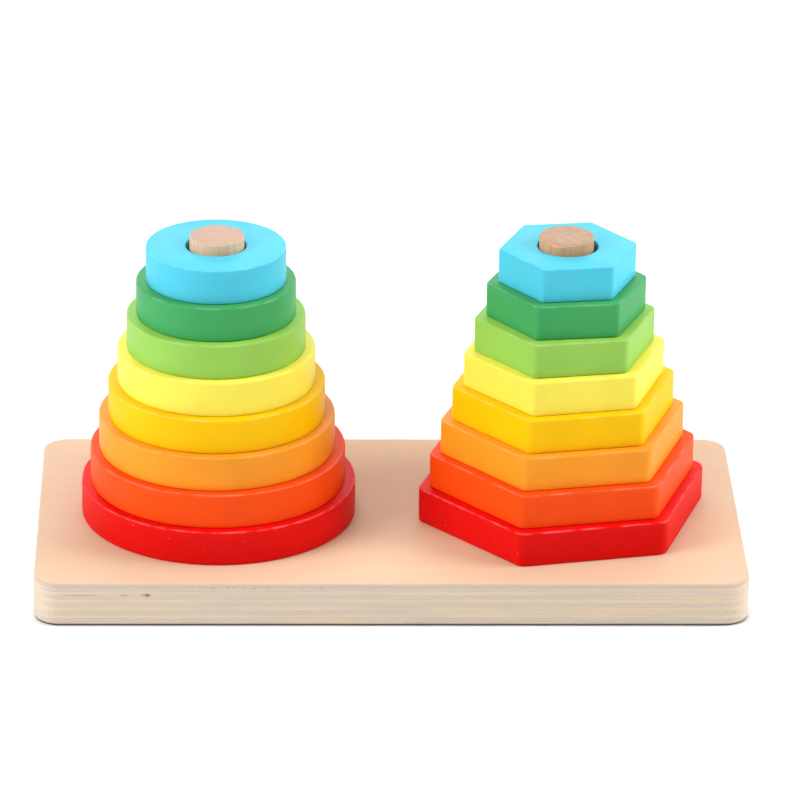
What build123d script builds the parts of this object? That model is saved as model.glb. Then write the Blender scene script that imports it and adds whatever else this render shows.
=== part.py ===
from build123d import *
import os

# Stacking ring toy: a plywood base board with two beech pegs. Round rings sit on the left peg and
# hexagonal rings on the right one, largest at the bottom.
# Millimetres and degrees. The origin is the centre of the board's underside, +Z is up, +X runs
# along the board towards the hexagon tower, and -Y is the front.

os.makedirs("parts", exist_ok=True)

# ---- Base board ----
board_length = 280
board_width = 140
board_thickness = 18.2
board_corner_radius = 10
board_edge_round = 0.8

# ---- Pegs: dowels glued into blind sockets ----
peg_spacing = 137.5        # from the axis of one peg to the other
peg_setback = 1.3          # from the board's middle line towards its back
peg_diameter = 21.7
peg_proud = 4.4            # how far a peg shows above its top ring
peg_top_round = 0.8
peg_foot_chamfer = 1.0
socket_floor = 6           # wood left under a peg
glue_gap = 0.05            # all round a peg in its socket

# ---- Rings ----
ring_colours = ["red", "orange_red", "light_orange", "amber", "yellow", "light_green", "green", "sky_blue"]
ring_thickness = 14.2
ring_play = 1.1            # between a peg and a ring's bore, all round
ring_edge_round = 0.6
bore_edge_round = 0.5

top_ring_diameter = 55.4   # the smallest round ring
diameter_step = 7.7        # each round ring below is wider by this

top_hexagon_flats = 48.0   # the smallest hexagon, from flat to flat
flats_step = 7.8           # each hexagon below is wider by this
top_corner_radius = 1.8    # upright corners of the smallest hexagon
corner_radius_step = 0.4   # each hexagon below is rounder by this

# How the loose rings lie on their pegs, from the bottom ring up
hexagon_turns = [11.5, 10.5, 10.5, 10.5, 10.5, 9, 6.5, 7]   # degrees, anticlockwise from above
round_slips = [0.6, 0.3, 0, -0.1, -0.2, -0.3, -0.3, -0.3]   # to the right, as a share of the play
hexagon_slips = [0.3, 0.4, 0.2, 0.2, 0.2, 0.1, 0.4, 0.5]

# ---- Countersunk wood screws, up through the board into the pegs ----
screw_length = 35
screw_head_radius = 4
screw_head_rim = 0.3       # straight rim of the head
screw_sink = 0.3           # head below the board's underside
screw_shank_radius = 1.45
screw_thread_radius = 2.0
screw_core_radius = 1.3
screw_pitch = 1.8
screw_threads = 12
screw_tip_length = 3
screw_gap = 0.05           # all round a screw in its holes
recess_length = 4.4        # the cross for the screwdriver
recess_width = 1.0
recess_depth = 1.5
recess_taper = 12

# ---- Sizes that follow ----
ring_count = len(ring_colours)
peg_radius = peg_diameter / 2
bore_radius = peg_radius + ring_play
peg_top = board_thickness + ring_count * ring_thickness + peg_proud
round_tower_x = -peg_spacing / 2
hexagon_tower_x = peg_spacing / 2
peg_places = {"round_tower_peg": round_tower_x, "hexagon_tower_peg": hexagon_tower_x}

screw_head_base = screw_sink + screw_head_rim
screw_neck = screw_head_base + screw_head_radius - screw_shank_radius  # the head is a 90 degree cone
screw_tip = screw_sink + screw_length
thread_top = screw_tip - screw_tip_length
thread_foot = thread_top - screw_threads * screw_pitch
screw_hole_radius = screw_thread_radius + screw_gap
countersink_radius = screw_head_radius + screw_head_base + screw_gap


# ---- Base board: rounded in plan, with its long edges eased, two sockets and two screw holes ----
with BuildPart() as base_board:
    with BuildSketch():
        RectangleRounded(board_length, board_width, board_corner_radius)
    extrude(amount=board_thickness)
    outer_faces = base_board.faces().group_by(Axis.Z)
    fillet(outer_faces[0].edges() + outer_faces[-1].edges(), board_edge_round)
    with Locations(*[(x, peg_setback, board_thickness) for x in peg_places.values()]):
        Hole(peg_radius + glue_gap, board_thickness - socket_floor)
    with Locations(*[Plane((x, peg_setback, 0), z_dir=(0, 0, -1)) for x in peg_places.values()]):
        CounterSinkHole(screw_hole_radius, countersink_radius, socket_floor, counter_sink_angle=90)
base_board.part.label = "base_board"
export_step(base_board.part, "parts/base_board.step")


# ---- Pegs: each stands on the floor of its socket and is bored for its screw ----
for peg_name, peg_x in peg_places.items():
    with BuildPart() as peg:
        with BuildSketch(Plane((peg_x, peg_setback, socket_floor))):
            Circle(peg_radius)
        extrude(amount=peg_top - socket_floor)
        fillet(peg.edges().sort_by(Axis.Z)[-1], peg_top_round)
        chamfer(peg.edges().sort_by(Axis.Z)[0], peg_foot_chamfer)
        with BuildSketch(Plane((peg_x, peg_setback, socket_floor))):
            Circle(screw_hole_radius)
        extrude(amount=screw_tip + screw_gap - socket_floor, mode=Mode.SUBTRACT)
    peg.part.label = peg_name
    export_step(peg.part, f"parts/{peg_name}.step")


# ---- Screws: one is turned from its outline, with each thread as a ridge, and set under each peg ----
thread_outline = []
for turn in range(screw_threads):
    ridge_foot = thread_foot + turn * screw_pitch
    thread_outline.append((screw_core_radius, ridge_foot))
    thread_outline.append((screw_thread_radius, ridge_foot + screw_pitch / 2))

with BuildPart() as screw:
    with BuildSketch(Plane.XZ):
        with BuildLine():
            Polyline(
                (0, screw_sink),
                (screw_head_radius, screw_sink),
                (screw_head_radius, screw_head_base),
                (screw_shank_radius, screw_neck),
                (screw_shank_radius, thread_foot),
                *thread_outline,
                (screw_core_radius, thread_top),
                (0, screw_tip),
                close=True,
            )
        make_face()
    revolve(axis=Axis.Z)
    with BuildSketch(Plane.XY.offset(screw_sink)):
        Rectangle(recess_length, recess_width)
        Rectangle(recess_width, recess_length)
    extrude(amount=recess_depth, taper=recess_taper, mode=Mode.SUBTRACT)

with BuildPart() as peg_screws:
    with Locations(*[(x, peg_setback, 0) for x in peg_places.values()]):
        add(screw.part)
peg_screws.part.label = "peg_screws"
export_step(peg_screws.part, "parts/peg_screws.step")


# ---- Rings: from the bottom, each is a step smaller than the one below ----
for layer, colour in enumerate(ring_colours):
    rings_above = ring_count - 1 - layer
    ring_foot = board_thickness + layer * ring_thickness
    round_x = round_tower_x + round_slips[layer] * ring_play
    hexagon_x = hexagon_tower_x + hexagon_slips[layer] * ring_play
    round_place = Plane((round_x, peg_setback, ring_foot))
    hexagon_place = Plane((hexagon_x, peg_setback, ring_foot))

    round_name = f"round_ring_{layer + 1}_{colour}"
    with BuildPart() as round_ring:
        with BuildSketch(round_place):
            Circle((top_ring_diameter + rings_above * diameter_step) / 2)
            Circle(bore_radius, mode=Mode.SUBTRACT)
        extrude(amount=ring_thickness)
        rims = round_ring.edges().filter_by(GeomType.CIRCLE).sort_by(SortBy.RADIUS)
        fillet(rims[-2:], ring_edge_round)
        fillet(rims[:2], bore_edge_round)
    round_ring.part.label = round_name
    export_step(round_ring.part, f"parts/{round_name}.step")

    hexagon_name = f"hexagon_ring_{layer + 1}_{colour}"
    flats = top_hexagon_flats + rings_above * flats_step
    corner_radius = top_corner_radius + rings_above * corner_radius_step
    with BuildPart() as hexagon_ring:
        with BuildSketch(hexagon_place) as outline:
            RegularPolygon(flats / 2, 6, major_radius=False, rotation=hexagon_turns[layer])
            fillet(outline.vertices(), corner_radius)
        extrude(amount=ring_thickness)
        end_faces = hexagon_ring.faces().group_by(Axis.Z)
        fillet(end_faces[0].edges() + end_faces[-1].edges(), ring_edge_round)
        with BuildSketch(hexagon_place):
            Circle(bore_radius)
        extrude(amount=ring_thickness, mode=Mode.SUBTRACT)
        bore_rims = hexagon_ring.edges().filter_by(GeomType.CIRCLE).sort_by(SortBy.RADIUS)[-2:]
        fillet(bore_rims, bore_edge_round)
    hexagon_ring.part.label = hexagon_name
    export_step(hexagon_ring.part, f"parts/{hexagon_name}.step")
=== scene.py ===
# %% [markdown]
# # A wooden stacking toy, modelled and finished in Blender
#
# The toy is a plywood board with two beech pegs. Eight round rings sit on the left peg and eight
# hexagonal ones on the right, painted in the same eight colours. Every size comes from the packed
# frame, or is one of the few workshop sizes named where it is first used. All lengths are in
# metres.

# %% Load the frame
import math

import bmesh
import bpy
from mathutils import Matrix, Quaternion, Vector


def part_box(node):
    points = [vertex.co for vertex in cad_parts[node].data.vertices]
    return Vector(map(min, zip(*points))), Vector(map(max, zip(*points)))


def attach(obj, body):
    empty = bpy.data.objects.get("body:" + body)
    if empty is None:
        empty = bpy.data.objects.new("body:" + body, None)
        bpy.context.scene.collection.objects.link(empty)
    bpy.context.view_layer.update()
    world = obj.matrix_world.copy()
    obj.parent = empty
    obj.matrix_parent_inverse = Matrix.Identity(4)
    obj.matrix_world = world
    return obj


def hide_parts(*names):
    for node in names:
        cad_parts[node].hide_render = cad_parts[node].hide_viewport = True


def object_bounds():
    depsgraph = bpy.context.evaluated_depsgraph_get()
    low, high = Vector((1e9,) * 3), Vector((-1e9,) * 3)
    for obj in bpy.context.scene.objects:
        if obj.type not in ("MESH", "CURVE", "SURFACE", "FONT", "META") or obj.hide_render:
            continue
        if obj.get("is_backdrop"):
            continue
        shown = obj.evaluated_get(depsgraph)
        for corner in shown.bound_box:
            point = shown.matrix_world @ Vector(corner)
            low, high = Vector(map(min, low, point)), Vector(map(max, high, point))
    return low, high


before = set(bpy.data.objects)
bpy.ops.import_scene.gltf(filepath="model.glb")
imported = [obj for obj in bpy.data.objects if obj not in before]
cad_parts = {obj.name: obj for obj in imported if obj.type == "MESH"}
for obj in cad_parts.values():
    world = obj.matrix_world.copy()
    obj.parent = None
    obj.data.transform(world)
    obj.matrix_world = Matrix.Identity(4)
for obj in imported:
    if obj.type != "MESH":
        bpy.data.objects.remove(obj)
cad_low, cad_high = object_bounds()
print("the toy measures", [round(side, 4) for side in cad_high - cad_low])

# %% [markdown]
# ## Working in edit mode without a mouse
#
# Operators act on whatever is selected, so each step first drops the whole selection and then picks
# faces, edges or vertices by their place or by the way they face. Six helpers do this over and
# over: hold takes up one piece, pick selects parts of it, begin and end open and close it for
# editing, cut_out subtracts another piece, and coat gives it its material.

# %% The six helpers
MILLIMETRE = 0.001
HAIR = 0.01 * MILLIMETRE  # two places closer than this count as one
FLAT = 0.9  # a face counts as flat when its normal points up or down by more than this
UPRIGHT = 0.2  # and as an upright wall when it does so by less than this
SMOOTH_ANGLE = 30  # degrees; faces that meet at less than this are shaded as one


def hold(piece):
    """Selects one piece alone and makes it the active one."""
    bpy.ops.object.select_all(action="DESELECT")
    piece.select_set(True)
    bpy.context.view_layer.objects.active = piece


def pick(piece, kind, test):
    """Selects only the VERT, EDGE or FACE elements that pass a test."""
    bpy.ops.mesh.select_mode(type=kind)
    bpy.ops.mesh.select_all(action="DESELECT")
    mesh = bmesh.from_edit_mesh(piece.data)
    elements = {"VERT": mesh.verts, "EDGE": mesh.edges, "FACE": mesh.faces}[kind]
    for element in elements:
        if test(element):
            element.select_set(True)
    mesh.select_flush_mode()
    bmesh.update_edit_mesh(piece.data)


def begin(name):
    """Names the active object, puts its place into its mesh and opens edit mode."""
    piece = bpy.context.object
    piece.name = piece.data.name = name
    bpy.ops.object.transform_apply(location=True, rotation=True, scale=True)
    bpy.ops.object.mode_set(mode="EDIT")
    bpy.ops.mesh.select_all(action="SELECT")
    return piece


def end(piece):
    """Turns every face outwards, closes edit mode and smooths all but the sharp edges."""
    bpy.ops.mesh.select_all(action="SELECT")
    bpy.ops.mesh.remove_doubles(threshold=HAIR)
    bpy.ops.mesh.normals_make_consistent(inside=False)
    bpy.ops.object.mode_set(mode="OBJECT")
    bpy.ops.object.shade_smooth_by_angle(angle=math.radians(SMOOTH_ANGLE))
    mesh = bmesh.new()
    mesh.from_mesh(piece.data)
    open_edges = sum(not edge.is_manifold for edge in mesh.edges)
    litres = mesh.calc_volume() * 1000
    faces = len(mesh.faces)
    mesh.free()
    print(f"{piece.name}: {faces} faces, {litres:.4f} litres, {open_edges} open edges")


def cut_out(piece, cutter):
    """Closes edit mode, takes a cutter's shape out of a piece and removes the cutter."""
    bpy.ops.object.mode_set(mode="OBJECT")
    cut = piece.modifiers.new("cut", "BOOLEAN")
    cut.object = cutter
    bpy.context.view_layer.objects.active = piece
    bpy.ops.object.modifier_apply(modifier=cut.name)
    bpy.data.objects.remove(cutter)


def coat(piece, material):
    """Gives a piece one material."""
    piece.data.materials.clear()
    piece.data.materials.append(material)


bpy.ops.object.select_all(action="DESELECT")
print("nothing is selected now:", len(bpy.context.selected_objects) == 0)

# %% [markdown]
# ## The outline of a ring
#
# On the bench a ring starts as a shape sawn from plywood. The round one is a circle with enough
# corners to look round. The hexagon starts with six vertices: each is bevelled into a rounded
# corner, and its long sides are divided so that later steps have vertices to work on.

# %% Outlines, drawn as wires and then filled
ROUND_STEPS = 192
CORNER_STEPS = 8
SIDE_CUTS = 23


def round_outline(name, centre, radius):
    """A filled circle lying at the ring's foot."""
    bpy.ops.mesh.primitive_circle_add(
        vertices=ROUND_STEPS, radius=radius, fill_type="NOTHING", location=centre
    )
    piece = begin(name)
    bpy.ops.mesh.edge_face_add()
    return piece


def hexagon_outline(name, centre, flats, corner_radius, turn):
    """A filled hexagon with rounded corners, turned by some degrees from lying square."""
    across_corners = flats / math.cos(math.radians(30))
    bpy.ops.mesh.primitive_circle_add(
        vertices=6, radius=across_corners / 2, fill_type="NOTHING",
        location=centre, rotation=(0, 0, math.radians(turn + 30)),
    )
    piece = begin(name)
    bpy.ops.mesh.bevel(
        offset=corner_radius * math.tan(math.radians(30)), segments=CORNER_STEPS, affect="VERTICES"
    )
    pick(piece, "EDGE", lambda edge: edge.calc_length() > corner_radius)
    bpy.ops.mesh.subdivide(number_cuts=SIDE_CUTS)
    bpy.ops.mesh.select_all(action="SELECT")
    bpy.ops.mesh.edge_face_add()
    return piece


hexagon_steps = 6 * (CORNER_STEPS + 1 + SIDE_CUTS)
print("a round outline has", ROUND_STEPS, "vertices and a hexagon", hexagon_steps)

# %% [markdown]
# ## Building the thickness up ply by ply
#
# The rings are cut from plywood, and the plies show faintly through the paint because the saw and
# the sander take the two grain directions differently. So the outline isn't extruded once: it is
# extruded to the middle and to the top of every ply, and then every second ply is drawn in a
# little.

# %% Extrude the plies, and draw every second one in
RING_PLIES = 9
RING_PLY_RELIEF = 0.035 * MILLIMETRE


def ply_heights(thickness, plies):
    """Heights to extrude to: the top of each ply, and its middle in all but the outer two."""
    ply = thickness / plies
    middles = [ply * (k + 0.5) for k in range(1, plies - 1)]
    tops = [ply * (k + 1) for k in range(plies)]
    return sorted(middles + tops)


def stack_plies(thickness, plies):
    """Raises the filled outline to its full thickness, one short extrusion after another."""
    reached = 0
    for height in ply_heights(thickness, plies):
        step = (0, 0, height - reached)
        bpy.ops.mesh.extrude_region_move(TRANSFORM_OT_translate={"value": step})
        reached = height
    bpy.ops.mesh.select_all(action="SELECT")
    bpy.ops.mesh.normals_make_consistent(inside=False)


def draw_in_plies(piece, foot, thickness, plies, relief):
    """Moves the middle line of every second ply inwards by the relief."""
    ply = thickness / plies
    for k in range(1, plies - 1, 2):
        level = foot + ply * (k + 0.5)
        pick(piece, "VERT", lambda vertex: abs(vertex.co.z - level) < HAIR)
        bpy.ops.transform.shrink_fatten(value=-relief)


relief_in_mm = round(RING_PLY_RELIEF / MILLIMETRE, 3)
print("a ring has", RING_PLIES, "plies, in a relief of", relief_in_mm, "mm")

# %% [markdown]
# ## Boring the ring
#
# A real bore is drilled. On a mesh the tidy way is to draw loops on both flat faces, let the inner
# one take a round shape with To Sphere, and bridge the two inner faces, which opens the hole and
# makes its wall. A narrow loop beside each edge keeps the flat faces flat when they are shaded.

# %% Loops on the flat faces, and the bore between them
RING_EDGE_ROUND = 0.6 * MILLIMETRE
BORE_EDGE_ROUND = 0.5 * MILLIMETRE
GUARD = 0.2 * MILLIMETRE  # from a rounded edge to the loop that guards the flat face
BORE_ROWS = 7


def loop_inwards(centre, measure_radius, wanted, to_circle):
    """Copies the selected face's border and brings it to a wanted radius, made round if asked."""
    bpy.ops.mesh.extrude_region_move(TRANSFORM_OT_translate={"value": (0, 0, 0)})
    if to_circle:
        bpy.ops.transform.tosphere(value=1.0)
    scale = wanted / measure_radius()
    bpy.ops.transform.resize(value=(scale, scale, 1), center_override=centre)


def open_bore(piece, centre, foot, thickness, bore_radius):
    """Opens the bore from both flat faces."""

    def selected_radius():
        mesh = bmesh.from_edit_mesh(piece.data)
        reach = [(v.co.xy - centre.xy).length for v in mesh.verts if v.select]
        return sum(reach) / len(reach)

    for level, facing in ((foot, -1), (foot + thickness, 1)):
        pick(piece, "FACE", lambda face: face.normal.z * facing > FLAT)
        bpy.ops.mesh.inset(thickness=RING_EDGE_ROUND + GUARD, use_even_offset=True)
        at_level = Vector((centre.x, centre.y, level))
        lip = bore_radius + BORE_EDGE_ROUND + GUARD
        loop_inwards(at_level, selected_radius, lip, True)
        loop_inwards(at_level, selected_radius, bore_radius, False)
    pick(
        piece, "FACE",
        lambda face: abs(face.normal.z) > FLAT
        and all(abs((v.co.xy - centre.xy).length - bore_radius) < HAIR for v in face.verts),
    )
    bpy.ops.mesh.bridge_edge_loops(number_cuts=BORE_ROWS)


print("the bore's edges keep", GUARD / MILLIMETRE, "mm of flat face beside them")

# %% [markdown]
# ## Rounding the edges and sanding them by hand
#
# Toys for small children have no sharp edges. The rims are rounded with a router and then broken by
# hand, so their rounding wanders a little. Bevel makes the rounding. The rims then go into a vertex
# group, and a Displace modifier with a cloud texture takes a little off them, never adds to them.

# %% Round the rims, and sand them unevenly
RIM_STEPS = 6
BORE_RIM_STEPS = 4


def edge_between_flat_and_wall(edge):
    """True for an edge with a flat face on one side and an upright wall on the other."""
    steepness = sorted(abs(face.normal.z) for face in edge.link_faces)
    return len(steepness) == 2 and steepness[0] < UPRIGHT and steepness[1] > FLAT


def group_rims(piece):
    """Puts the selected vertices into the group of the rims."""
    bpy.ops.object.vertex_group_add()
    piece.vertex_groups.active.name = "rims"
    bpy.ops.object.vertex_group_assign()


def round_rims(piece, centre, border, inner_round, outer_round):
    """Bevels the rims inside and outside a border radius, and groups the outer ones."""
    if inner_round:
        pick(
            piece, "EDGE",
            lambda edge: edge_between_flat_and_wall(edge)
            and (edge.verts[0].co.xy - centre.xy).length < border,
        )
        bpy.ops.mesh.bevel(offset=inner_round, segments=BORE_RIM_STEPS, affect="EDGES")
    pick(
        piece, "EDGE",
        lambda edge: edge_between_flat_and_wall(edge)
        and (edge.verts[0].co.xy - centre.xy).length > border,
    )
    bpy.ops.mesh.bevel(offset=outer_round, segments=RIM_STEPS, affect="EDGES")
    group_rims(piece)


def sand_rims(piece, lump_size, depth):
    """Moves the rims inwards by up to about a depth, in lumps of the given size."""
    clouds = bpy.data.textures.new("sanding", "CLOUDS")
    clouds.noise_scale = lump_size
    clouds.noise_depth = 2
    sander = piece.modifiers.new("sanding", "DISPLACE")
    sander.texture = clouds
    sander.texture_coords = "LOCAL"
    sander.strength = depth
    sander.mid_level = 1.0
    sander.vertex_group = "rims"
    bpy.context.view_layer.objects.active = piece
    bpy.ops.object.modifier_apply(modifier=sander.name)


print("a rim is rounded in", RIM_STEPS, "steps over", RING_EDGE_ROUND / MILLIMETRE, "mm")

# %% [markdown]
# ## Telling the material where the rims are
#
# Paint is thin on a broken edge and rubs off there first, and the upper rims also carry a painted
# highlight. The material can't see a vertex group, so the group is written into an attribute of the
# mesh, which travels with it and can be exported.

# %% Write the rims into an attribute


def mark_rims(piece):
    """Stores 1 on the vertices of the rims and 0 elsewhere."""
    group = piece.vertex_groups["rims"].index
    marks = piece.data.attributes.new("rim", "FLOAT", "POINT")
    for vertex in piece.data.vertices:
        marks.data[vertex.index].value = float(any(g.group == group for g in vertex.groups))


print("rims are stored per vertex, in an attribute named rim")

# %% [markdown]
# ## The sixteen rings
#
# Each ring goes through the same steps: outline, plies, bore, rims and sanding. Its place and
# thickness come from its CAD node. The hexagons' width, corners and turn are the designer's own
# numbers, since a box round a turned hexagon doesn't give them.

# %% Make every ring
COLOURS = [  # from the bottom ring up
    "red", "orange_red", "light_orange", "amber", "yellow", "light_green", "green", "sky_blue",
]
RING_PLAY = 1.1 * MILLIMETRE  # between a peg and a bore, all round
TOP_FLATS = 48.0 * MILLIMETRE  # width of the top hexagon across its flats
FLATS_STEP = 7.8 * MILLIMETRE
TOP_CORNER = 1.8 * MILLIMETRE
CORNER_STEP = 0.4 * MILLIMETRE
TURNS = [11.5, 10.5, 10.5, 10.5, 10.5, 9, 6.5, 7]  # degrees anticlockwise, from the bottom up
RING_SANDING = {"lump_size": 6 * MILLIMETRE, "depth": 0.14 * MILLIMETRE}

peg_low, peg_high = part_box("round_tower_peg")
peg_radius = (peg_high.x - peg_low.x) / 2
bore_radius = peg_radius + RING_PLAY
rings = {}

for layer, colour in enumerate(COLOURS):
    rings_above = len(COLOURS) - 1 - layer
    for shape in ("round", "hexagon"):
        node = f"{shape}_ring_{layer + 1}_{colour}"
        low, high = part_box(node)
        thickness = high.z - low.z
        centre = Vector(((low.x + high.x) / 2, (low.y + high.y) / 2, low.z))
        if shape == "round":
            narrowest = (high.x - low.x) / 2
            ring = round_outline(f"painted_{node}", centre, narrowest)
        else:
            flats = TOP_FLATS + rings_above * FLATS_STEP
            corner = TOP_CORNER + rings_above * CORNER_STEP
            narrowest = flats / 2
            ring = hexagon_outline(f"painted_{node}", centre, flats, corner, TURNS[layer])
        stack_plies(thickness, RING_PLIES)
        open_bore(ring, centre, low.z, thickness, bore_radius)
        draw_in_plies(ring, low.z, thickness, RING_PLIES, RING_PLY_RELIEF)
        round_rims(ring, centre, (bore_radius + narrowest) / 2, BORE_EDGE_ROUND, RING_EDGE_ROUND)
        end(ring)
        sand_rims(ring, **RING_SANDING)
        mark_rims(ring)
        rings[node] = ring
        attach(ring, f"{shape}_ring_{layer + 1}")
        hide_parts(node)

print(len(rings), "rings stand on their pegs")

# %% [markdown]
# ## The pegs
#
# A peg is a length of beech dowel. It stands in a blind socket and a screw comes up into its foot.
# The circle is extruded upwards, the foot is chamfered so that it enters the socket, and the pilot
# hole is an inset of the foot pushed upwards. One peg is made and the other is a turned copy, with
# a small chip knocked off its top edge, cut by a slanting plane.

# %% Make one peg and copy it
PEG_STEPS = 96
PEG_ROWS = 16
PEG_TOP_ROUND = 0.8 * MILLIMETRE
PEG_FOOT_CHAMFER = 1.0 * MILLIMETRE
PEG_SANDING = {"lump_size": 3 * MILLIMETRE, "depth": 0.25 * MILLIMETRE}
SCREW_THREAD_RADIUS = 2.0 * MILLIMETRE
FIT_GAP = 0.05 * MILLIMETRE  # left all round where one piece sits in another

peg_centre = Vector(((peg_low.x + peg_high.x) / 2, (peg_low.y + peg_high.y) / 2, peg_low.z))
peg_length = peg_high.z - peg_low.z
screw_low, screw_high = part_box("peg_screws")

bpy.ops.object.select_all(action="DESELECT")
bpy.ops.mesh.primitive_circle_add(
    vertices=PEG_STEPS, radius=peg_radius, fill_type="NGON", location=peg_centre
)
peg = begin("round_tower_dowel")
for row in range(PEG_ROWS):
    bpy.ops.mesh.extrude_region_move(
        TRANSFORM_OT_translate={"value": (0, 0, peg_length / PEG_ROWS)}
    )
bpy.ops.mesh.select_all(action="SELECT")
bpy.ops.mesh.normals_make_consistent(inside=False)

pilot_radius = SCREW_THREAD_RADIUS + FIT_GAP
pick(peg, "FACE", lambda face: face.normal.z > FLAT)
bpy.ops.mesh.inset(thickness=PEG_TOP_ROUND + GUARD)
pick(peg, "FACE", lambda face: face.normal.z < -FLAT)
bpy.ops.mesh.inset(thickness=PEG_FOOT_CHAMFER + GUARD)
bpy.ops.mesh.inset(thickness=peg_radius - PEG_FOOT_CHAMFER - GUARD - pilot_radius)
bpy.ops.mesh.extrude_region_move(
    TRANSFORM_OT_translate={"value": (0, 0, screw_high.z + FIT_GAP - peg_low.z)}
)


def on_peg_rim(edge, level):
    """True for an edge of the dowel's outer rim at one level."""
    return all(
        abs(v.co.z - level) < HAIR and abs((v.co.xy - peg_centre.xy).length - peg_radius) < HAIR
        for v in edge.verts
    )


pick(peg, "EDGE", lambda edge: on_peg_rim(edge, peg_low.z))
bpy.ops.mesh.bevel(offset=PEG_FOOT_CHAMFER, segments=1, affect="EDGES")
pick(peg, "EDGE", lambda edge: on_peg_rim(edge, peg_high.z))
bpy.ops.mesh.bevel(offset=PEG_TOP_ROUND, segments=RIM_STEPS, affect="EDGES")
group_rims(peg)
end(peg)
sand_rims(peg, **PEG_SANDING)
mark_rims(peg)

# %% The second peg is a turned copy with its own mesh
SECOND_PEG_TURN = math.radians(140)
CHIP_DEPTH = 1.6 * MILLIMETRE  # how far the chip reaches in from the top edge
CHIP_BEARING = math.radians(-116)
CHIP_SLOPE = 0.9  # how much the chip's plane leans up, against outwards

far_low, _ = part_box("hexagon_tower_peg")
step_across = Vector((far_low.x - peg_low.x, 0, 0))
hold(peg)
bpy.ops.object.duplicate()
bpy.ops.transform.rotate(value=SECOND_PEG_TURN, orient_axis="Z", center_override=peg_centre)
bpy.ops.transform.translate(value=step_across)
second_peg = begin("hexagon_tower_dowel")

outwards = Vector((math.cos(CHIP_BEARING), math.sin(CHIP_BEARING), 0))
chip_edge = peg_centre + step_across + outwards * (peg_radius - CHIP_DEPTH)
bpy.ops.mesh.bisect(
    plane_co=(chip_edge.x, chip_edge.y, peg_high.z),
    plane_no=outwards + Vector((0, 0, CHIP_SLOPE)),
    use_fill=True, clear_outer=True, threshold=2 * HAIR,
)
end(second_peg)
pegs = {"round_tower_peg": peg, "hexagon_tower_peg": second_peg}
for node, piece in pegs.items():
    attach(piece, "base")
    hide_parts(node)
print("the pegs stand", round(step_across.x / MILLIMETRE, 1), "mm apart")

# %% [markdown]
# ## The screws
#
# A countersunk wood screw holds each peg from below. Its outline grows from the head to the tip by
# extruding a small disc and resizing it again and again: that makes the cone, the shank and one
# ridge for every turn of the thread. A crosswise Boolean cuts the recess for the screwdriver.

# %% Make one screw and copy it
SCREW_STEPS = 32
HEAD_RADIUS = 4.0 * MILLIMETRE
HEAD_RIM = 0.3 * MILLIMETRE
SHANK_RADIUS = 1.45 * MILLIMETRE
CORE_RADIUS = 1.3 * MILLIMETRE
TIP_RADIUS = CORE_RADIUS / 20
THREADS = 12
THREAD_PITCH = 1.8 * MILLIMETRE
TIP_LENGTH = 3.0 * MILLIMETRE
RECESS_LENGTH = 4.4 * MILLIMETRE
RECESS_WIDTH = 1.0 * MILLIMETRE
RECESS_DEPTH = 1.5 * MILLIMETRE
RECESS_TAPER = 0.8  # size of the recess at its bottom, as a share of its mouth

screw_centre = Vector((peg_centre.x, peg_centre.y, screw_low.z))
bpy.ops.object.select_all(action="DESELECT")
bpy.ops.mesh.primitive_circle_add(
    vertices=SCREW_STEPS, radius=HEAD_RADIUS, fill_type="NGON", location=screw_centre
)
screw = begin("peg_screw_pair")
screw_reached = [screw_centre.z, HEAD_RADIUS]  # the level and radius of the disc so far


def grow_screw(height, radius):
    """Extrudes the disc to a height above the head's face, at a radius."""
    level = screw_centre.z + height
    bpy.ops.mesh.extrude_region_move(
        TRANSFORM_OT_translate={"value": (0, 0, level - screw_reached[0])}
    )
    scale = radius / screw_reached[1]
    bpy.ops.transform.resize(
        value=(scale, scale, 1), center_override=(screw_centre.x, screw_centre.y, level)
    )
    screw_reached[:] = [level, radius]


screw_length = screw_high.z - screw_low.z
thread_foot = screw_length - TIP_LENGTH - THREADS * THREAD_PITCH
grow_screw(HEAD_RIM, HEAD_RADIUS)
grow_screw(HEAD_RIM + HEAD_RADIUS - SHANK_RADIUS, SHANK_RADIUS)
grow_screw(thread_foot - THREAD_PITCH / 4, SHANK_RADIUS)
for turn in range(THREADS):
    grow_screw(thread_foot + turn * THREAD_PITCH, CORE_RADIUS)
    grow_screw(thread_foot + (turn + 0.5) * THREAD_PITCH, SCREW_THREAD_RADIUS)
grow_screw(screw_length - TIP_LENGTH, CORE_RADIUS)
grow_screw(screw_length, TIP_RADIUS)
end(screw)

# %% Cut the recess and copy the screw
for angle in (0, 90):
    bpy.ops.object.select_all(action="DESELECT")
    bpy.ops.mesh.primitive_cube_add(
        size=1, location=screw_centre, rotation=(0, 0, math.radians(angle)),
        scale=(RECESS_LENGTH, RECESS_WIDTH, RECESS_DEPTH * 2),
    )
    cutter = begin("recess_cutter")
    pick(cutter, "FACE", lambda face: face.normal.z > FLAT)
    bpy.ops.transform.resize(
        value=(RECESS_TAPER, RECESS_TAPER, 1), center_override=screw_centre
    )
    cut_out(screw, cutter)

hold(screw)
bpy.ops.object.mode_set(mode="EDIT")
bpy.ops.mesh.select_all(action="SELECT")
bpy.ops.mesh.duplicate_move(TRANSFORM_OT_translate={"value": step_across})
end(screw)
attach(screw, "base")
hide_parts("peg_screws")

# %% [markdown]
# ## The board
#
# The board is eleven crossed plies glued together, then sawn, rounded at the corners and sanded. It
# starts as a plane whose four corner vertices are bevelled, and rises ply by ply as the rings do.
# Its rims are rounded, and Boolean cutters make the sockets for the pegs and the screws' holes.

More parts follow.
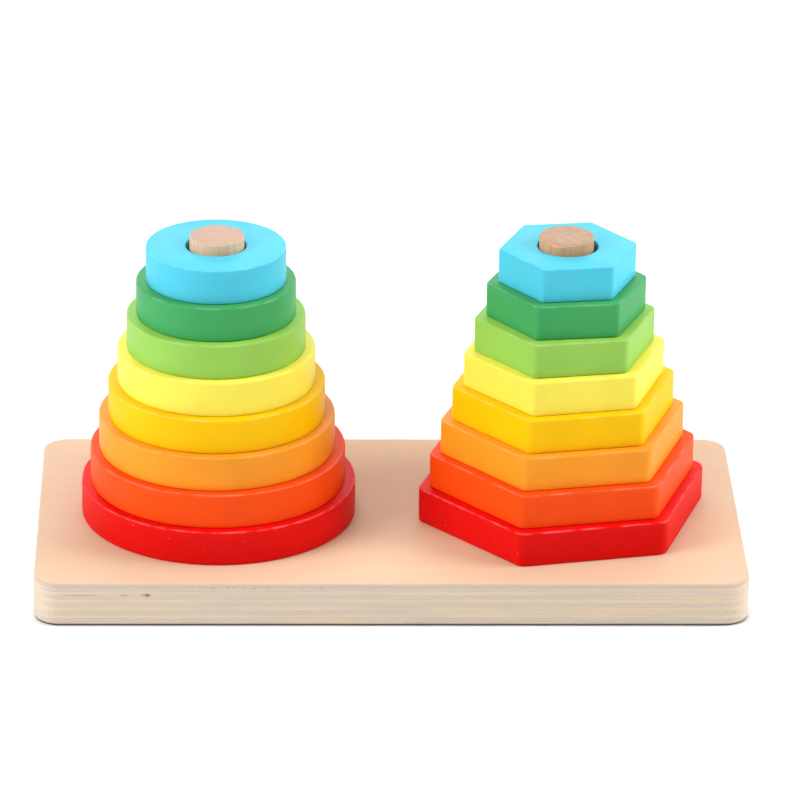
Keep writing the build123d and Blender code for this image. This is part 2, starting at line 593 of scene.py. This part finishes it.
# %% Raise the board
BOARD_PLIES = 11
BOARD_CORNER = 10 * MILLIMETRE
BOARD_CORNER_STEPS = 12
BOARD_EDGE_ROUND = 0.8 * MILLIMETRE
BOARD_PLY_RELIEF = 0.06 * MILLIMETRE
BOARD_COLUMN = 2.5 * MILLIMETRE  # width of the faces along the edges
BOARD_SANDING = {"lump_size": 8 * MILLIMETRE, "depth": 0.15 * MILLIMETRE}

board_low, board_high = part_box("base_board")
board_size = board_high - board_low
board_centre = Vector(((board_low.x + board_high.x) / 2, (board_low.y + board_high.y) / 2, 0))

bpy.ops.object.select_all(action="DESELECT")
bpy.ops.mesh.primitive_plane_add(size=1, location=board_centre + Vector((0, 0, board_low.z)))
bpy.context.object.scale = (board_size.x, board_size.y, 1)
board = begin("plywood_board")
bpy.ops.mesh.bevel(offset=BOARD_CORNER, segments=BOARD_CORNER_STEPS, affect="VERTICES")
for axis, other in ((0, 1), (1, 0)):
    side = board_size[axis] - 2 * BOARD_CORNER
    pick(
        board, "EDGE",
        lambda edge: edge.calc_length() > BOARD_CORNER
        and abs(edge.verts[0].co[other] - edge.verts[1].co[other]) < HAIR,
    )
    bpy.ops.mesh.subdivide(number_cuts=round(side / BOARD_COLUMN) - 1)
bpy.ops.mesh.select_all(action="SELECT")
stack_plies(board_size.z, BOARD_PLIES)
for facing in (-1, 1):
    pick(board, "FACE", lambda face: face.normal.z * facing > FLAT)
    bpy.ops.mesh.inset(thickness=BOARD_EDGE_ROUND + GUARD)
draw_in_plies(board, board_low.z, board_size.z, BOARD_PLIES, BOARD_PLY_RELIEF)
round_rims(board, board_centre, border=0, inner_round=0, outer_round=BOARD_EDGE_ROUND)
end(board)
sand_rims(board, **BOARD_SANDING)

# %% Cut the sockets and the screws' holes
HOLE_STEPS = 64
SCREW_SINK = 0.3 * MILLIMETRE
OVERSHOOT = 1 * MILLIMETRE  # a cutter runs this far past a face


def cut_cylinder(piece, place, low_z, high_z, low_radius, high_radius):
    """Cuts a cylinder or cone standing at a place out of a piece."""
    bpy.ops.object.select_all(action="DESELECT")
    bpy.ops.mesh.primitive_cone_add(
        vertices=HOLE_STEPS, radius1=low_radius, radius2=high_radius, depth=high_z - low_z,
        location=(place.x, place.y, (low_z + high_z) / 2),
    )
    cut_out(piece, begin("hole_cutter"))


socket_radius = peg_radius + FIT_GAP
cone_foot = HEAD_RADIUS + HEAD_RIM + SCREW_SINK + FIT_GAP  # the cone's radius at the underside
cone_top = board_low.z + cone_foot - pilot_radius
below_board = board_low.z - OVERSHOOT
for place in (peg_centre, peg_centre + step_across):
    cut_cylinder(board, place, peg_low.z, board_high.z + OVERSHOOT, socket_radius, socket_radius)
    cut_cylinder(board, place, below_board, peg_low.z + OVERSHOOT, pilot_radius, pilot_radius)
    cut_cylinder(board, place, below_board, cone_top, cone_foot + OVERSHOOT, pilot_radius)
hold(board)
bpy.ops.object.mode_set(mode="EDIT")
end(board)
mark_rims(board)
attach(board, "base")
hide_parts("base_board")

# %% [markdown]
# ## Materials: a small kit for node trees
#
# Every finish is a node tree that reads Object coordinates, so a pattern stays on its piece when
# the piece moves.


def new_material(name):
    """An empty material with a Principled shader, its tree and its Object coordinates."""
    material = bpy.data.materials.new(name)
    material.use_nodes = True
    tree = material.node_tree
    shader = tree.nodes["Principled BSDF"]
    place = tree.nodes.new("ShaderNodeTexCoord")
    return material, tree, shader, place


def add(tree, kind, inputs=(), **settings):
    """Adds a node. An input is a value or the socket of another node, given by name or number."""
    node = tree.nodes.new(f"ShaderNode{kind}")
    for name, value in settings.items():
        setattr(node, name, value)
    for key, value in dict(inputs).items():
        if isinstance(value, bpy.types.NodeSocket):
            tree.links.new(value, node.inputs[key])
        else:
            node.inputs[key].default_value = value
    return node


def noise(tree, place, stretch, scale, detail=3, roughness=0.5, shift=(0, 0, 0)):
    """A noise pattern, stretched along some axes. Returns the socket of its value."""
    mapping = add(tree, "Mapping", {"Vector": place, "Scale": stretch, "Location": shift})
    pattern = add(
        tree, "TexNoise",
        {"Vector": mapping.outputs[0], "Scale": scale, "Detail": detail, "Roughness": roughness},
    )
    return pattern.outputs["Fac"]


def ramp(tree, value, start, stop, low=0.0, high=1.0):
    """Spreads the values from start to stop over low to high, and holds the ends."""
    node = add(
        tree, "MapRange", {0: value, 1: start, 2: stop, 3: low, 4: high},
        interpolation_type="SMOOTHSTEP",
    )
    return node.outputs[0]


def maths(tree, operation, first, second=0.0):
    """One step of arithmetic."""
    return add(tree, "Math", {0: first, 1: second}, operation=operation).outputs[0]


def times(tree, first, second):
    """Multiplies two values."""
    return maths(tree, "MULTIPLY", first, second)


def mix(tree, factor, first, second):
    """Mixes two colours."""
    node = add(tree, "Mix", {0: factor, 6: first, 7: second}, data_type="RGBA", blend_type="MIX")
    return node.outputs[2]


def bump(tree, height, depth):
    """Turns a height pattern into a bumped normal, for a relief of the given depth."""
    node = add(tree, "Bump", {"Height": height, "Distance": depth, "Strength": 1.0})
    return node.outputs["Normal"]


def linear(red, green, blue):
    """A display colour, 0 to 255, as the linear colour that a shader works in."""
    return tuple(
        c / 255 / 12.92 if c <= 10 else ((c / 255 + 0.055) / 1.055) ** 2.4
        for c in (red, green, blue)
    ) + (1.0,)


print("mid grey in linear light is", round(linear(128, 128, 128)[0], 3))

# %% [markdown]
# ## Paint
#
# The rings are sprayed with satin water-based paint. Wood fibres rise under it, so the surface has
# a fine lengthwise grain, and the coat dries with a slight orange peel. The upper rims are paler,
# partly from thin paint and partly as a painted highlight. A little wood shows through there in
# places, and a few specks of dust sit in it.

# %% The paint's colours and its material
PAINTS = {
    "red": (228, 7, 6),
    "orange_red": (248, 80, 12),
    "light_orange": (248, 156, 34),
    "amber": (250, 197, 4),
    "yellow": (248, 233, 86),
    "light_green": (150, 203, 86),
    "green": (64, 164, 93),
    "sky_blue": (78, 201, 228),
}
USUAL_SPECKS = 0.1  # how plainly the dust shows
SPECKS = {"red": 0.35, "orange_red": 0.3}
USUAL_GLOSS = 0.18  # how strongly the paint mirrors a light
GLOSS = {"red": 0.1, "orange_red": 0.1, "amber": 0.08}
BARE_WOOD = linear(236, 205, 165)
DUST = linear(250, 236, 228)


def paint(colour, display):
    """Satin paint on plywood."""
    material, tree, shader, place = new_material(f"satin_paint_{colour}")
    here = place.outputs["Object"]
    pure = linear(*display)
    paler = tuple(c * 0.9 + 0.1 * max(pure[:3]) for c in pure[:3]) + (1.0,)
    thin_paint_highlight = tuple(c * 0.72 + 0.28 for c in pure[:3]) + (1.0,)
    deeper = tuple(c * 0.9 for c in pure[:3]) + (1.0,)

    cloud = noise(tree, here, (1, 1, 1), 45, 2)
    fibres = noise(tree, here, (1, 14, 14), 120, 4, 0.6)
    peel = noise(tree, here, (1, 1, 1), 900, 2)
    tone = mix(tree, ramp(tree, cloud, 0.3, 0.7, 0.4, 1.0), deeper, pure)
    tone = mix(tree, ramp(tree, fibres, 0.5, 0.8, 0.0, 0.1), tone, paler)

    rim = add(tree, "Attribute", attribute_name="rim").outputs["Fac"]
    up = add(tree, "SeparateXYZ", {0: place.outputs["Normal"]}).outputs["Z"]
    # The upper rims are painted paler: partly thin paint, partly a painted highlight where the
    # rounded edge catches the light from above.
    rim = times(tree, rim, ramp(tree, up, 0.0, 0.4))
    thin_paint_and_highlight = ramp(tree, noise(tree, here, (1, 1, 1), 160, 4, 0.6), 0.35, 0.65, 0.0, 0.32)
    tone = mix(tree, times(tree, rim, thin_paint_and_highlight), tone, thin_paint_highlight)
    rubbed = ramp(tree, noise(tree, here, (1, 1, 1), 300, 4, 0.65), 0.63, 0.73, 0.0, 0.45)
    tone = mix(tree, times(tree, rim, rubbed), tone, mix(tree, 0.5, paler, BARE_WOOD))

    specks = noise(tree, here, (1, 1, 1), 900, 1, 0.4, (3, 1, 2))
    specks = ramp(tree, specks, 0.80, 0.83, 0.0, SPECKS.get(colour, USUAL_SPECKS))
    tone = mix(tree, specks, tone, DUST)

    relief = maths(tree, "ADD", times(tree, fibres, 0.7), times(tree, peel, 0.3))
    tree.links.new(tone, shader.inputs["Base Color"])
    tree.links.new(ramp(tree, fibres, 0.3, 0.7, 0.4, 0.5), shader.inputs["Roughness"])
    shader.inputs["Specular IOR Level"].default_value = GLOSS.get(colour, USUAL_GLOSS)
    tree.links.new(bump(tree, relief, 0.06 * MILLIMETRE), shader.inputs["Normal"])
    return material


paint_materials = {colour: paint(colour, display) for colour, display in PAINTS.items()}
for node, ring in rings.items():
    colour = node.split("_", 3)[3]
    coat(ring, paint_materials[colour])
print(len(paint_materials), "paints")

# %% [markdown]
# ## Beech
#
# Beech is pale and pinkish, with fine grain along the dowel and short darker flecks. The sawn top
# shows the grain end on: fine pores and a few faint growth rings that arc across it, because the
# dowel was turned from a spot far from the heart of the tree. No two dowels are the same colour, so
# one function makes both, the left one pinker and smoother and the right one browner and mottled.

# %% The dowels' materials
BEECH_PORE = linear(168, 120, 84)


def beech(name, side, sawn, dark, mottling):
    """Sanded beech dowel, upright, in tones of its side, its sawn end and its darker grain."""
    material, tree, shader, place = new_material(f"sanded_beech_{name}")
    here = place.outputs["Object"]
    up = add(tree, "SeparateXYZ", {0: place.outputs["Normal"]}).outputs["Z"]
    is_end = ramp(tree, up, 0.6, 0.9)

    streaks = noise(tree, here, (1, 1, 0.06), 600, 4, 0.6)
    side_colour = mix(tree, ramp(tree, streaks, 0.35, 0.7, 0.0, 0.35), side, dark)
    flecks = ramp(tree, noise(tree, here, (1, 1, 0.2), 2300, 1), 0.68, 0.76, 0.0, 0.4)
    side_colour = mix(tree, flecks, side_colour, BEECH_PORE)

    off_centre = add(tree, "Mapping", {"Vector": here, "Location": (0.05, 0.09, 0)})
    growth = add(
        tree, "TexWave",
        {
            "Vector": off_centre.outputs[0], "Scale": 70, "Distortion": 3.0,
            "Detail": 3, "Detail Scale": 1.5,
        },
        wave_type="RINGS", rings_direction="Z",
    )
    pores = noise(tree, here, (1, 1, 1), 1500, 3, 0.7)
    blotches = noise(tree, here, (1, 1, 1), 420, 4, 0.65)
    end_colour = mix(tree, ramp(tree, growth.outputs["Fac"], 0.3, 0.9, 0.0, 0.12), sawn, dark)
    end_colour = mix(tree, ramp(tree, blotches, 0.35, 0.7, 0.0, mottling), end_colour, dark)
    open_pores = ramp(tree, pores, 0.58, 0.72, 0.0, mottling * 0.6)
    end_colour = mix(tree, open_pores, end_colour, BEECH_PORE)

    tree.links.new(mix(tree, is_end, side_colour, end_colour), shader.inputs["Base Color"])
    shader.inputs["Roughness"].default_value = 0.62
    shader.inputs["Specular IOR Level"].default_value = 0.3
    relief = mix(tree, is_end, streaks, pores)
    tree.links.new(bump(tree, relief, 0.06 * MILLIMETRE), shader.inputs["Normal"])
    return material


DOWEL_TONES = {  # side, sawn end, darker grain, and how mottled the end is
    "round_tower_peg": ((240, 198, 164), (200, 170, 152), (194, 145, 114), 0.25),
    "hexagon_tower_peg": ((222, 170, 130), (188, 157, 133), (168, 117, 80), 0.4),
}
for node, piece in pegs.items():
    side, sawn, dark, mottling = DOWEL_TONES[node]
    name = node.split("_")[0]
    coat(piece, beech(name, linear(*side), linear(*sawn), linear(*dark), mottling))
print("the pegs are beech, each in its own tone")

# %% [markdown]
# ## Plywood
#
# The face veneer is smooth and pale, its grain along the board. The edges show the plies: those
# whose grain runs along an edge are pale and streaky there, and those that end at it are greyer,
# with open pores. Round the corner the two kinds change places. The tone of each ply drifts along
# its length, and thin darker glue lines part the plies. The lowest millimetre of the edge is
# painted dark, as painted contact shade where the board stands on the floor.

# %% Colours of the plywood
VENEER = linear(220, 190, 162)
VENEER_WARM = linear(217, 179, 148)
LONG_PLY = linear(225, 208, 185)
END_PLY = linear(214, 200, 183)
DRIFT_GREY = linear(208, 195, 180)
DRIFT_WARM = linear(228, 204, 174)
GLUE_LINE = linear(168, 144, 122)
KNOT = linear(126, 72, 40)
KNOT_HALO = linear(196, 150, 108)
# painted contact shade, for the lowest millimetre of the board's edges
PAINTED_CONTACT_SHADE = linear(72, 48, 40)
VENEER_EDGE = linear(204, 184, 172)
print("the plywood is mixed from eleven tones")

# %% The plies at the edges


def spot(tree, place, centre, size, inner, strength):
    """A soft oval spot: at full strength in the inner share of its size, gone at its edge."""
    centred = add(tree, "VectorMath", {0: place, 1: centre}, operation="SUBTRACT").outputs[0]
    scaled = add(tree, "VectorMath", {0: centred, 1: size}, operation="DIVIDE").outputs[0]
    distance = add(tree, "VectorMath", {0: scaled}, operation="LENGTH").outputs["Value"]
    return ramp(tree, distance, inner, 1.0, strength, 0.0)


def ply_edges(tree, here, short_side):
    """The plies as the board's edges show them. Returns colour, streaks and the place's axes."""
    axes = add(tree, "SeparateXYZ", {0: here}).outputs
    wander = ramp(tree, noise(tree, here, (1, 1, 1), 28, 2), 0.2, 0.8, -0.12, 0.12)
    level = maths(tree, "ADD", times(tree, axes["Z"], BOARD_PLIES / board_size.z), wander)
    is_cross = ramp(tree, maths(tree, "FRACT", times(tree, level, 0.5)), 0.46, 0.54)
    ends_here = maths(tree, "ABSOLUTE", maths(tree, "SUBTRACT", is_cross, short_side))

    streaks = noise(tree, here, (0.03, 0.03, 1), 1100, 4, 0.65)
    pores = noise(tree, here, (1, 1, 0.5), 1500, 3, 0.65)
    long_grain = mix(tree, ramp(tree, streaks, 0.35, 0.7, 0.0, 0.6), LONG_PLY, DRIFT_GREY)
    end_grain = mix(tree, ramp(tree, pores, 0.45, 0.75, 0.0, 0.5), END_PLY, GLUE_LINE)
    colour = mix(tree, times(tree, ends_here, 0.85), long_grain, end_grain)

    which_ply = times(tree, maths(tree, "FLOOR", level), 0.37)
    along = add(tree, "CombineXYZ", {0: axes["X"], 1: axes["Y"], 2: which_ply}).outputs[0]
    grey_drift = noise(tree, along, (1, 1, 1), 14, 2)
    warm_drift = noise(tree, along, (1, 1, 1), 9, 2, 0.5, (5, 2, 7))
    colour = mix(tree, ramp(tree, grey_drift, 0.42, 0.62, 0.0, 0.6), colour, DRIFT_GREY)
    colour = mix(tree, ramp(tree, warm_drift, 0.48, 0.68, 0.0, 0.7), colour, DRIFT_WARM)

    from_middle = maths(tree, "ABSOLUTE", maths(tree, "SUBTRACT", maths(tree, "FRACT", level), 0.5))
    patchy = ramp(tree, noise(tree, here, (0.15, 0.15, 1), 500, 3), 0.4, 0.65, 0.1, 0.55)
    colour = mix(tree, times(tree, ramp(tree, from_middle, 0.42, 0.5), patchy), colour, GLUE_LINE)
    return colour, streaks, axes


# %% The knot and the open pores of the front edge
KNOT_Z = board_high.z - 4.9 * MILLIMETRE
SPOT_REACH = 2 * MILLIMETRE  # how deep a spot on the front edge goes into the wood
KNOT_SPOTS = [  # in millimetres: place along the board, half width, half height; and strength
    (-96.2, 3.6, 1.05, 0.75),
    (-104.5, 3.0, 0.85, 0.6),
    (-122.0, 11.0, 0.75, 0.45),
]


def add_knot(tree, here, colour):
    """A small knot in the third ply from the top of the front edge, and the stain round it."""
    for along, half_width, half_height, strength in KNOT_SPOTS:
        centre = (along * MILLIMETRE, board_low.y, KNOT_Z)
        size = (half_width * MILLIMETRE, SPOT_REACH, half_height * MILLIMETRE)
        colour = mix(tree, spot(tree, here, centre, size, 0.2, strength), colour, KNOT_HALO)
    core = (-95.6 * MILLIMETRE, board_low.y, KNOT_Z)
    core_size = (1.3 * MILLIMETRE, SPOT_REACH, 0.9 * MILLIMETRE)
    return mix(tree, spot(tree, here, core, core_size, 0.2, 0.75), colour, KNOT)


def add_open_pores(tree, here, colour):
    """Short dark dashes where the veneer below the top one was torn by the saw."""
    dashes = ramp(tree, noise(tree, here, (1, 1, 1.6), 620, 2, 0.6), 0.56, 0.66, 0.0, 0.55)
    band = (-45 * MILLIMETRE, board_low.y, board_high.z - 1.5 * MILLIMETRE)
    band_size = (50 * MILLIMETRE, SPOT_REACH, 0.9 * MILLIMETRE)
    where = spot(tree, here, band, band_size, 0.6, 1.0)
    return mix(tree, times(tree, dashes, where), colour, GLUE_LINE)


# %% The faces of the plywood, and the whole material
TOP_PLY = 1.6 * MILLIMETRE
# the band of painted contact shade at the foot of the edges
PAINTED_SHADE_FROM, PAINTED_SHADE_TO = 0.7 * MILLIMETRE, 1.4 * MILLIMETRE


def veneer(tree, here):
    """The face veneer, with fine streaks and broad soft bands. Returns its colour and its grain."""
    grain = noise(tree, here, (0.05, 1, 1), 420, 5, 0.6)
    broad = noise(tree, here, (0.25, 1, 1), 24, 3)
    colour = mix(tree, ramp(tree, grain, 0.4, 0.75, 0.0, 0.45), VENEER, VENEER_WARM)
    return mix(tree, ramp(tree, broad, 0.35, 0.7, 0.0, 0.4), colour, VENEER_WARM), grain


def plywood():
    """Sanded birch plywood."""
    material, tree, shader, place = new_material("sanded_plywood")
    here = place.outputs["Object"]
    facing = add(tree, "SeparateXYZ", {0: place.outputs["Normal"]}).outputs
    is_face = ramp(tree, maths(tree, "ABSOLUTE", facing["Z"]), 0.75, 0.95)
    short_side = ramp(tree, maths(tree, "ABSOLUTE", facing["X"]), 0.55, 0.85)
    edge_colour, streaks, axes = ply_edges(tree, here, short_side)
    edge_colour = add_open_pores(tree, here, add_knot(tree, here, edge_colour))
    top_ply = board_high.z - TOP_PLY
    is_top_ply = ramp(tree, axes["Z"], top_ply - 0.15 * MILLIMETRE, top_ply, 0.0, 0.7)
    edge_colour = mix(tree, is_top_ply, edge_colour, VENEER_EDGE)
    # Painted contact shade: the edges darken towards the bottom, where the board meets the floor.
    painted_shade_from, painted_shade_to = board_low.z + PAINTED_SHADE_FROM, board_low.z + PAINTED_SHADE_TO
    painted_shade_band = ramp(tree, axes["Z"], painted_shade_from, painted_shade_to, 0.95, 0.0)
    edge_colour = mix(tree, painted_shade_band, edge_colour, PAINTED_CONTACT_SHADE)
    face_colour, grain = veneer(tree, here)
    tree.links.new(mix(tree, is_face, edge_colour, face_colour), shader.inputs["Base Color"])
    shader.inputs["Roughness"].default_value = 0.6
    shader.inputs["Specular IOR Level"].default_value = 0.2
    relief = mix(tree, is_face, streaks, grain)
    tree.links.new(bump(tree, relief, 0.05 * MILLIMETRE), shader.inputs["Normal"])
    return material


coat(board, plywood())
ply_thickness = board_size.z / BOARD_PLIES / MILLIMETRE
print("the board has", BOARD_PLIES, "plies of", round(ply_thickness, 2), "mm")

# %% [markdown]
# ## Zinc-plated steel
#
# The screws are plain zinc-plated steel: metallic, slightly uneven in tone, with fine turning marks
# round their length.

# %% The screws' material
material, tree, shader, place = new_material("zinc_plated_steel")
here = place.outputs["Object"]
patches = noise(tree, here, (1, 1, 1), 700, 3)
turning = noise(tree, here, (0.1, 0.1, 1), 6000, 2)
zinc = mix(tree, ramp(tree, patches, 0.3, 0.7), linear(176, 180, 188), linear(208, 210, 214))
tree.links.new(zinc, shader.inputs["Base Color"])
shader.inputs["Metallic"].default_value = 1.0
tree.links.new(ramp(tree, patches, 0.3, 0.7, 0.25, 0.42), shader.inputs["Roughness"])
tree.links.new(bump(tree, turning, 0.02 * MILLIMETRE), shader.inputs["Normal"])
coat(screw, material)
print("the screws are zinc plated")

# %% [markdown]
# ## Floor, light and camera
#
# The toy stands on a plain white floor, which glows faintly far out, where the lamps don't reach,
# so that it stays white to the horizon. A broad soft light hangs over the toy, two smaller ones
# stand to its left and right and one behind it. Little comes from the front, so the tops are
# brightest and the sides that face the viewer are deepest in colour. The camera looks down on the
# toy through a long lens, from just left of its middle.

# %% The floor
FLOOR_SIZE = 16
GLOW_FROM, GLOW_TO = 1.2, 3.2  # distances from the toy over which the floor begins to glow

bpy.ops.object.select_all(action="DESELECT")
bpy.ops.mesh.primitive_plane_add(size=FLOOR_SIZE, location=(0, 0, board_low.z))
floor = bpy.context.object
floor.name = "floor"
bpy.ops.object.transform_apply(location=True, rotation=True, scale=True)
material, tree, shader, place = new_material("white_floor")
shader.inputs["Base Color"].default_value = (0.93, 0.93, 0.93, 1)
shader.inputs["Roughness"].default_value = 0.9
shader.inputs["Specular IOR Level"].default_value = 0.1
shader.inputs["Emission Color"].default_value = (1, 1, 1, 1)
from_toy = add(tree, "VectorMath", {0: place.outputs["Object"]}, operation="LENGTH")
glow = ramp(tree, from_toy.outputs["Value"], GLOW_FROM, GLOW_TO, 0.03, 0.85)
tree.links.new(glow, shader.inputs["Emission Strength"])
coat(floor, material)
floor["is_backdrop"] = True

# %% The lights


def softbox(name, place, size, power):
    """A rectangular area light that faces the middle of the toy and isn't itself seen."""
    data = bpy.data.lights.new(name, "AREA")
    data.shape = "RECTANGLE"
    data.size, data.size_y = size
    data.energy = power
    light = bpy.data.objects.new(name, data)
    bpy.context.scene.collection.objects.link(light)
    light.location = place
    middle = (cad_low + cad_high) / 2
    light.rotation_mode = "QUATERNION"
    light.rotation_quaternion = (middle - Vector(place)).to_track_quat("-Z", "Y")
    light.visible_camera = False


softbox("overhead_softbox", (-0.1, 0.15, 1.85), (3.3, 1.5), 29.8)
softbox("right_softbox", (1.75, -0.22, 1.0), (1.0, 0.8), 31)
softbox("left_softbox", (-1.6, -0.75, 1.0), (1.0, 0.8), 28.5)
softbox("back_softbox", (0.0, 1.77, 0.95), (1.8, 0.7), 14)

# %% The surroundings
world = bpy.data.worlds.new("studio")
world.use_nodes = True
bpy.context.scene.world = world
background = world.node_tree.nodes["Background"]
background.inputs["Color"].default_value = (1, 1, 1, 1)
background.inputs["Strength"].default_value = 0.04
bpy.context.scene.view_settings.view_transform = "Standard"

# %% The camera
LENS = 255.08  # millimetres
SENSOR_WIDTH = 36  # millimetres
VIEW_DISTANCE = 2.254
VIEW_ELEVATION = 23.507  # degrees, as are the two below
VIEW_AZIMUTH = -1.729
VIEW_ROLL = 0.757
AIM = Vector((0.00397, 0, 0.06597))

azimuth, elevation = math.radians(VIEW_AZIMUTH), math.radians(VIEW_ELEVATION)
towards_viewer = Vector((
    math.sin(azimuth) * math.cos(elevation),
    -math.cos(azimuth) * math.cos(elevation),
    math.sin(elevation),
))
camera_data = bpy.data.cameras.new("camera")
camera_data.lens = LENS
camera_data.sensor_width = SENSOR_WIDTH
camera_data.clip_start, camera_data.clip_end = 0.1, 50
camera = bpy.data.objects.new("camera", camera_data)
bpy.context.scene.collection.objects.link(camera)
camera.location = AIM + towards_viewer * VIEW_DISTANCE
upright = (-towards_viewer).to_track_quat("-Z", "Y")
camera.rotation_mode = "QUATERNION"
camera.rotation_quaternion = Quaternion(towards_viewer, math.radians(VIEW_ROLL)) @ upright
bpy.context.scene.camera = camera
print("the camera stands", [round(c, 3) for c in camera.location])

# %% [markdown]
# ## The finished size
#
# The looks must not change the toy's size, so the box of the finished pieces is printed, to set
# beside the box of the CAD model printed at the start.

# %% Print the finished size
low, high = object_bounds()
print("finished size", [round(side, 4) for side in high - low])
